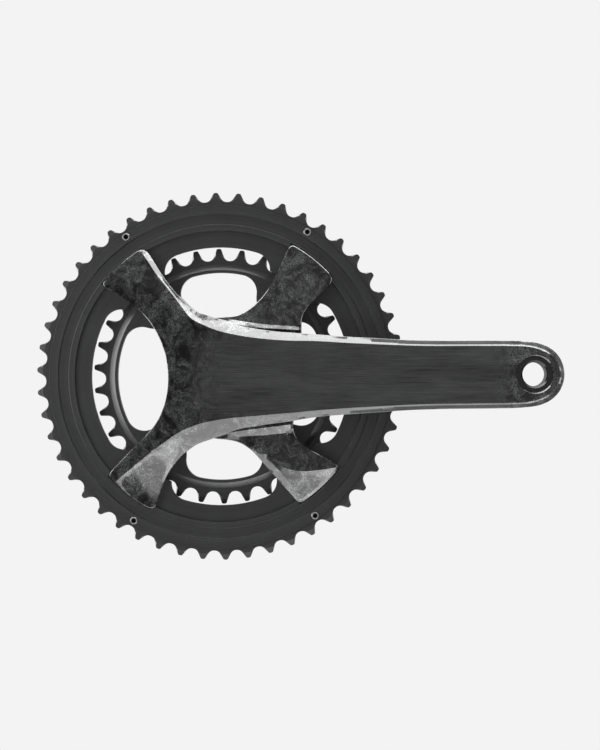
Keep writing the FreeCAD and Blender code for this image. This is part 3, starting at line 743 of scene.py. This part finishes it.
# %% [markdown]
# ## Carbon under lacquer
# The arm is moulded in two kinds of fibre. The crank's face is a skin of long fibres that all run along the
# arm, which shows as fine streaks. Everywhere else, on the spider, the sides and round the pedal's eye,
# chopped tow flows into the mould and sets in a marble of crossed flakes. Under clear lacquer, each flake
# shines or goes dark by the way it lies, so the flakes tilt the base normal while the coat keeps the smooth
# one. Where one kind gives way to the other is a fade along X and one across Z, in metres.

# %% Carbon material
def chopped_pattern(tree, spot):
    """A marble of crossed flakes with a fine speckle, from 0 for dark to 1 for shining."""
    swirl = node(tree, "TexNoise", {"Vector": spot, "Scale": 50.0, "Detail": 3.0})
    shift = node(tree, "VectorMath", {0: swirl.outputs["Color"], 1: (0.02, 0.02, 0.02)}, operation="MULTIPLY")
    drifted = node(tree, "VectorMath", {0: spot, 1: shift.outputs[0]}, operation="ADD").outputs[0]
    flow = node(tree, "TexNoise", {
        "Vector": drifted, "Scale": 85.0, "Detail": 8.0, "Roughness": 0.62, "Distortion": 1.6})
    flakes = node(tree, "TexVoronoi", {"Vector": drifted, "Scale": 380.0})
    flake_tone = node(tree, "SeparateColor", {0: flakes.outputs["Color"]}).outputs[0]
    speckle = node(tree, "TexNoise", {"Vector": spot, "Scale": 1300.0, "Detail": 3.0, "Roughness": 0.7})
    patches = between(tree, flow.outputs["Fac"], -0.45, 1.25)
    broken = node(tree, "Mix", {0: 0.25, 2: patches, 3: flake_tone})
    glints = between(tree, speckle.outputs["Fac"], -0.2, 1.8)
    speckled = node(tree, "Math", {0: broken.outputs[0], 1: glints}, operation="MULTIPLY", use_clamp=True)
    return speckled.outputs[0]


streaks_darkest, streaks_brightest = 0.04, 0.74
streaks_start, streaks_full = -0.02, 0.006
streaks_fade, streaks_end = 0.148, 0.162
face_half_width, face_edge = 0.019, 0.026


def streak_pattern(tree, spot):
    """Fine streaks along X, as long fibres show them, over a few broad and wavy ones."""
    along = node(tree, "Mapping", {"Vector": spot, "Scale": (60.0, 300.0, 2600.0)})
    streaks = node(tree, "TexNoise", {
        "Vector": along.outputs[0], "Scale": 1.0, "Detail": 5.0, "Roughness": 0.7})
    broad_along = node(tree, "Mapping", {"Vector": spot, "Scale": (30.0, 60.0, 110.0)})
    broad = node(tree, "TexNoise", {"Vector": broad_along.outputs[0], "Scale": 1.0, "Detail": 4.0})
    fine_tone = between(tree, streaks.outputs["Fac"], 0.0, 1.0)
    mixed = node(tree, "Mix", {0: 0.35, 2: fine_tone, 3: between(tree, broad.outputs["Fac"], 0.0, 1.0)})
    return ramp(tree, mixed.outputs[0], 0.0, 1.0, streaks_darkest, streaks_brightest)


def carbon_finish():
    material, tree, shader = start_material(
        "carbon_under_lacquer", Coat_Weight=1.0, Coat_Roughness=0.12, Coat_IOR=1.5, Specular_IOR_Level=0.1,
        Metallic=0.5)
    spot = node(tree, "TexCoord").outputs["Object"]
    axes = node(tree, "SeparateXYZ", {0: spot})
    upness = node(tree, "Math", {0: axes.outputs["Z"]}, operation="ABSOLUTE")
    in_width = ramp(tree, upness.outputs[0], face_half_width, face_edge, 1.0, 0.0)
    past_hub = ramp(tree, axes.outputs["X"], streaks_start, streaks_full, 0.0, 1.0)
    short_of_eye = ramp(tree, axes.outputs["X"], streaks_fade, streaks_end, 1.0, 0.0)
    long_fibre = times(tree, in_width, times(tree, past_hub, short_of_eye))
    chopped, streaks = chopped_pattern(tree, spot), streak_pattern(tree, spot)
    fibre = node(tree, "Mix", {0: long_fibre, 2: chopped, 3: streaks})
    shine = node(tree, "Math", {0: fibre.outputs[0], 1: 1.4}, operation="POWER").outputs[0]
    tree.links.new(blend(tree, shine, grey(0.001), grey(0.1, 0.02)), shader.inputs["Base Color"])
    tree.links.new(between(tree, fibre.outputs[0], 0.5, 0.34), shader.inputs["Roughness"])
    tree.links.new(bump(tree, fibre.outputs[0], 0.00003), shader.inputs["Normal"])
    return material


# %% [markdown]
# ## Black anodised aluminium
# Chainrings are turned and milled from plate and then dyed black. The dye sits in a glassy oxide a few
# hundredths of a millimetre thick, so it behaves as a dark plastic more than as a metal, yet the turning
# marks below it still steer the highlight. So the shader is a dark dielectric whose bump follows the fine
# marks, and whose tone and roughness follow their broad bands.

# %% Black metal materials
def anodised_finish(name, tone, roughness, marks_depth, centre=(0, 0, 0)):
    material, tree, shader = start_material(name, Specular_IOR_Level=0.5, IOR=1.5)
    marks = node(tree, "Group", {"Centre": centre}, node_tree=turning_marks)
    grain = node(tree, "Group", node_tree=fine_grain)
    tone_mix = node(tree, "Mix", {0: 0.5, 2: marks.outputs["Bands"], 3: grain.outputs["Patches"]})
    unevenness = between(tree, tone_mix.outputs[0], 0.0, 1.0)
    colour = blend(tree, unevenness, grey(tone * 0.55, 0.02), grey(tone * 1.45, 0.02))
    tree.links.new(colour, shader.inputs["Base Color"])
    rough = between(tree, tone_mix.outputs[0], roughness * 1.12, roughness * 0.88)
    tree.links.new(rough, shader.inputs["Roughness"])
    rings = bump(tree, marks.outputs["Fine"], marks_depth)
    grained = bump(tree, grain.outputs["Grain"], marks_depth * 0.4, under=rings)
    tree.links.new(grained, shader.inputs["Normal"])
    return material


# %% [markdown]
# ## Bare metals
# The bearing's balls and races are polished, the axle is ground, the sleeve and inserts are turned and left
# raw. They are the same metal shader with a different tone, a different roughness and more or less depth of
# the turning marks. The pins are polished too, but each has a punched hollow whose colour carries painted
# shade, so they have their own shader.

# %% Bare metal material
def bare_metal_finish(name, tone, roughness, marks_depth, tint=0.01):
    material, tree, shader = start_material(name, Metallic=1.0)
    marks = node(tree, "Group", {"Rings per metre": 6000.0}, node_tree=turning_marks)
    grain = node(tree, "Group", {"Patches per metre": 120.0}, node_tree=fine_grain)
    unevenness = between(tree, grain.outputs["Patches"], 0.0, 1.0)
    colour = blend(tree, unevenness, grey(tone * 0.88, tint), grey(tone, tint))
    tree.links.new(colour, shader.inputs["Base Color"])
    rough = between(tree, grain.outputs["Patches"], roughness * 1.25, roughness * 0.8)
    tree.links.new(rough, shader.inputs["Roughness"])
    tree.links.new(bump(tree, marks.outputs["Fine"], marks_depth), shader.inputs["Normal"])
    return material


hollow_start, hollow_dark, hollow_fade, hollow_end = 0.1, 0.5, 2.6, 2.8


def pin_finish():
    """Polished steel with painted shade: from just behind the pin's punched front to near its back end the
    colour goes almost black, standing in for shadow.
    """
    material, tree, shader = start_material("polished_pins", Metallic=1.0, Roughness=0.16)
    spot = node(tree, "TexCoord").outputs["Object"]
    depth = node(tree, "SeparateXYZ", {0: spot}).outputs["Y"]
    pin_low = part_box("shift_pins")[0]
    going_in = ramp(tree, depth, pin_low.y + hollow_start * MM, pin_low.y + hollow_dark * MM, 0.0, 1.0)
    past_it = ramp(tree, depth, pin_low.y + hollow_fade * MM, pin_low.y + hollow_end * MM, 1.0, 0.0)
    # Painted shade: near-black colour in the punched hollow and down the pin, from 0.1 mm behind its front to
    # 2.8 mm.
    hollow_painted_shade = times(tree, going_in, past_it)
    tree.links.new(blend(tree, hollow_painted_shade, grey(0.62), grey(0.01)), shader.inputs["Base Color"])
    return material


# %% [markdown]
# ## Rubber and plastic
# The bearing's seals are nitrile rubber and its cage is moulded nylon. Neither shines; both show a fine
# moulded grain and a slow change of tone, the rubber with a little sheen where light grazes it.

# %% Soft materials
def moulded_finish(name, tone, roughness, grain_depth, sheen=0.0):
    material, tree, shader = start_material(name, Specular_IOR_Level=0.4, Sheen_Weight=sheen)
    sizes = {"Grains per metre": 9000.0, "Patches per metre": 200.0}
    grain = node(tree, "Group", sizes, node_tree=fine_grain)
    unevenness = between(tree, grain.outputs["Patches"], 0.0, 1.0)
    tree.links.new(blend(tree, unevenness, grey(tone * 0.75), grey(tone * 1.2)), shader.inputs["Base Color"])
    rough = between(tree, grain.outputs["Grain"], roughness * 0.9, roughness * 1.1)
    tree.links.new(rough, shader.inputs["Roughness"])
    tree.links.new(bump(tree, grain.outputs["Grain"], grain_depth), shader.inputs["Normal"])
    return material


# %% Give every piece its finish
pedal_centre = (pedal_x * MM, 0, 0)

# Each row gives a name, a tone, a roughness and the depth of the marks or the grain in metres.
finishes = {
    "carbon": carbon_finish(),
    "black_anodised": anodised_finish("anodised_big_ring", 0.01, 0.3, 0.00001),
    "black_anodised_inner": anodised_finish("anodised_small_ring", 0.011, 0.32, 0.00001),
    "black_bolts": anodised_finish("anodised_bolts", 0.005, 0.28, 0.000002),
    "black_insert": anodised_finish("anodised_insert", 0.004, 0.26, 0.000003, pedal_centre),
    "raw_aluminium": bare_metal_finish("turned_aluminium", 0.78, 0.32, 0.000004),
    "axle_steel": bare_metal_finish("ground_steel", 0.56, 0.26, 0.000003),
    "bright_steel": pin_finish(),
    "bearing_steel": bare_metal_finish("bearing_steel", 0.66, 0.1, 0.000001),
    "clip_steel": bare_metal_finish("oiled_spring_steel", 0.3, 0.3, 0.000002),
    "cage_plastic": moulded_finish("moulded_nylon", 0.03, 0.55, 0.00001),
    "seal_rubber": moulded_finish("nitrile_rubber", 0.02, 0.7, 0.000012, 0.2),
}
for part in frame["record"]["subparts"]:
    piece = nodes[part["node"]]
    piece.data.materials.clear()
    piece.data.materials.append(finishes[part["material_slot"]])
carbon_arm.data.materials.clear()
carbon_arm.data.materials.append(finishes["carbon"])
print("finishes:", len(finishes))

# %% [markdown]
# ## The room
# Black, glossy parts are lit by what they reflect. The rings and the crank's face look straight at the camera
# and reflect the even, quiet room behind it, which keeps them dark. To the left the room is darker still, as
# if a black flag stood there, so that the hub's left side stays dark. The camera itself sees a pale backdrop
# instead of the room: a Light Path node tells its rays from all others.

# %% Room and backdrop
backdrop_grey = 0.896
room_grey = 0.42
flag_grey = 0.08
towards_flag = (-0.9, -0.42, 0.0)
flag_edge, flag_middle = 0.55, 0.95


def camera_sees(tree, seen, otherwise):
    """Shows one shader to the camera and another to every other ray."""
    path = node(tree, "LightPath")
    mixed = node(tree, "MixShader", {0: path.outputs["Is Camera Ray"], 1: otherwise, 2: seen})
    return mixed.outputs[0]


scene.view_settings.view_transform = "Standard"
world = bpy.data.worlds.new("studio")
scene.world = world
world.use_nodes = True
sky = world.node_tree
sky.nodes.clear()
direction = node(sky, "TexCoord").outputs["Generated"]
to_flag = node(sky, "VectorMath", {0: direction, 1: towards_flag}, operation="DOT_PRODUCT")
room_tone = ramp(sky, to_flag.outputs["Value"], flag_edge, flag_middle, room_grey, flag_grey)
room = node(sky, "Background", {"Color": room_tone})
backdrop = node(sky, "Background", {"Color": grey(backdrop_grey)})
world_end = node(sky, "OutputWorld")
sky.links.new(camera_sees(sky, backdrop.outputs[0], room.outputs[0]), world_end.inputs["Surface"])
print("room grey", room_grey, "darkest", flag_grey)

# %% [markdown]
# ## Softboxes
# Bevels that turn up reflect the big softbox overhead and go almost white, and those that turn down reflect
# two weaker ones below, one under the object and one further forward. A box at each end, a little behind the
# object, lights the edges that face sideways. None of these stands near the camera, where the flat faces
# would reflect it. The rings' bevels need a strong light from the left that would spoil the hub's dark side,
# so that box is linked to the two rings alone.

# %% Hang the softboxes
def softbox(name, location, target, size, power):
    """A rectangular lamp that faces its target and that the camera doesn't see."""
    data = bpy.data.lights.new(name, "AREA")
    data.shape = "RECTANGLE"
    data.size, data.size_y = size
    data.energy = power
    lamp = bpy.data.objects.new(name, data)
    scene.collection.objects.link(lamp)
    lamp.location = location
    lamp.rotation_euler = (Vector(target) - Vector(location)).to_track_quat("-Z", "Y").to_euler()
    lamp.visible_camera = False
    return lamp


# Each row gives a name, a place, a target and a size in metres, and a power in watts.
softbox("overhead_box", (0.05, -0.2, 0.75), (0.05, -0.2, 0), (1.5, 0.52), 28)
softbox("low_box", (0.05, -0.2, -0.6), (0.05, -0.2, 0), (1.2, 0.45), 6.5)
softbox("low_front_box", (0.3, -0.55, -0.62), (0.0, -0.06, -0.05), (1.0, 0.6), 5.5)
softbox("left_edge_box", (-0.9, 0.06, 0.0), (-0.03, -0.06, 0.0), (0.4, 0.8), 8)
softbox("right_edge_box", (1.05, 0.06, 0.0), (0.1, -0.06, 0.0), (0.4, 0.8), 5)
ring_box = softbox("ring_box", (-0.9, -0.4, 0.1), (-0.03, -0.06, 0.0), (1.0, 1.0), 32)
ring_pieces = bpy.data.collections.new("pieces_lit_from_the_left")
for name in ("big_chainring", "small_chainring"):
    ring_pieces.objects.link(bpy.data.objects[name])
ring_box.light_linking.receiver_collection = ring_pieces

# %% [markdown]
# ## Floor
# The object stands in front of a pale backdrop with no visible horizon. The floor shows the camera the same
# grey as the backdrop, and takes and gives light as a plain matt surface.

# %% Floor
floor_z = -0.85
floor_reach = 5
floor_mesh = bpy.data.meshes.new("floor")
floor_corners = [(x * floor_reach, y * floor_reach, floor_z) for x, y in ((-1, -1), (1, -1), (1, 1), (-1, 1))]
floor_mesh.from_pydata(floor_corners, [], [(0, 1, 2, 3)])
floor = bpy.data.objects.new("floor", floor_mesh)
scene.collection.objects.link(floor)
floor_material = bpy.data.materials.new("pale_floor")
floor_material.use_nodes = True
floor_tree = floor_material.node_tree
floor_tree.nodes.clear()
matt = node(floor_tree, "BsdfDiffuse", {"Color": grey(0.3)})
glow = node(floor_tree, "Emission", {"Color": grey(backdrop_grey)})
floor_end = node(floor_tree, "OutputMaterial")
floor_tree.links.new(camera_sees(floor_tree, glow.outputs[0], matt.outputs[0]), floor_end.inputs["Surface"])
floor_mesh.materials.append(floor_material)
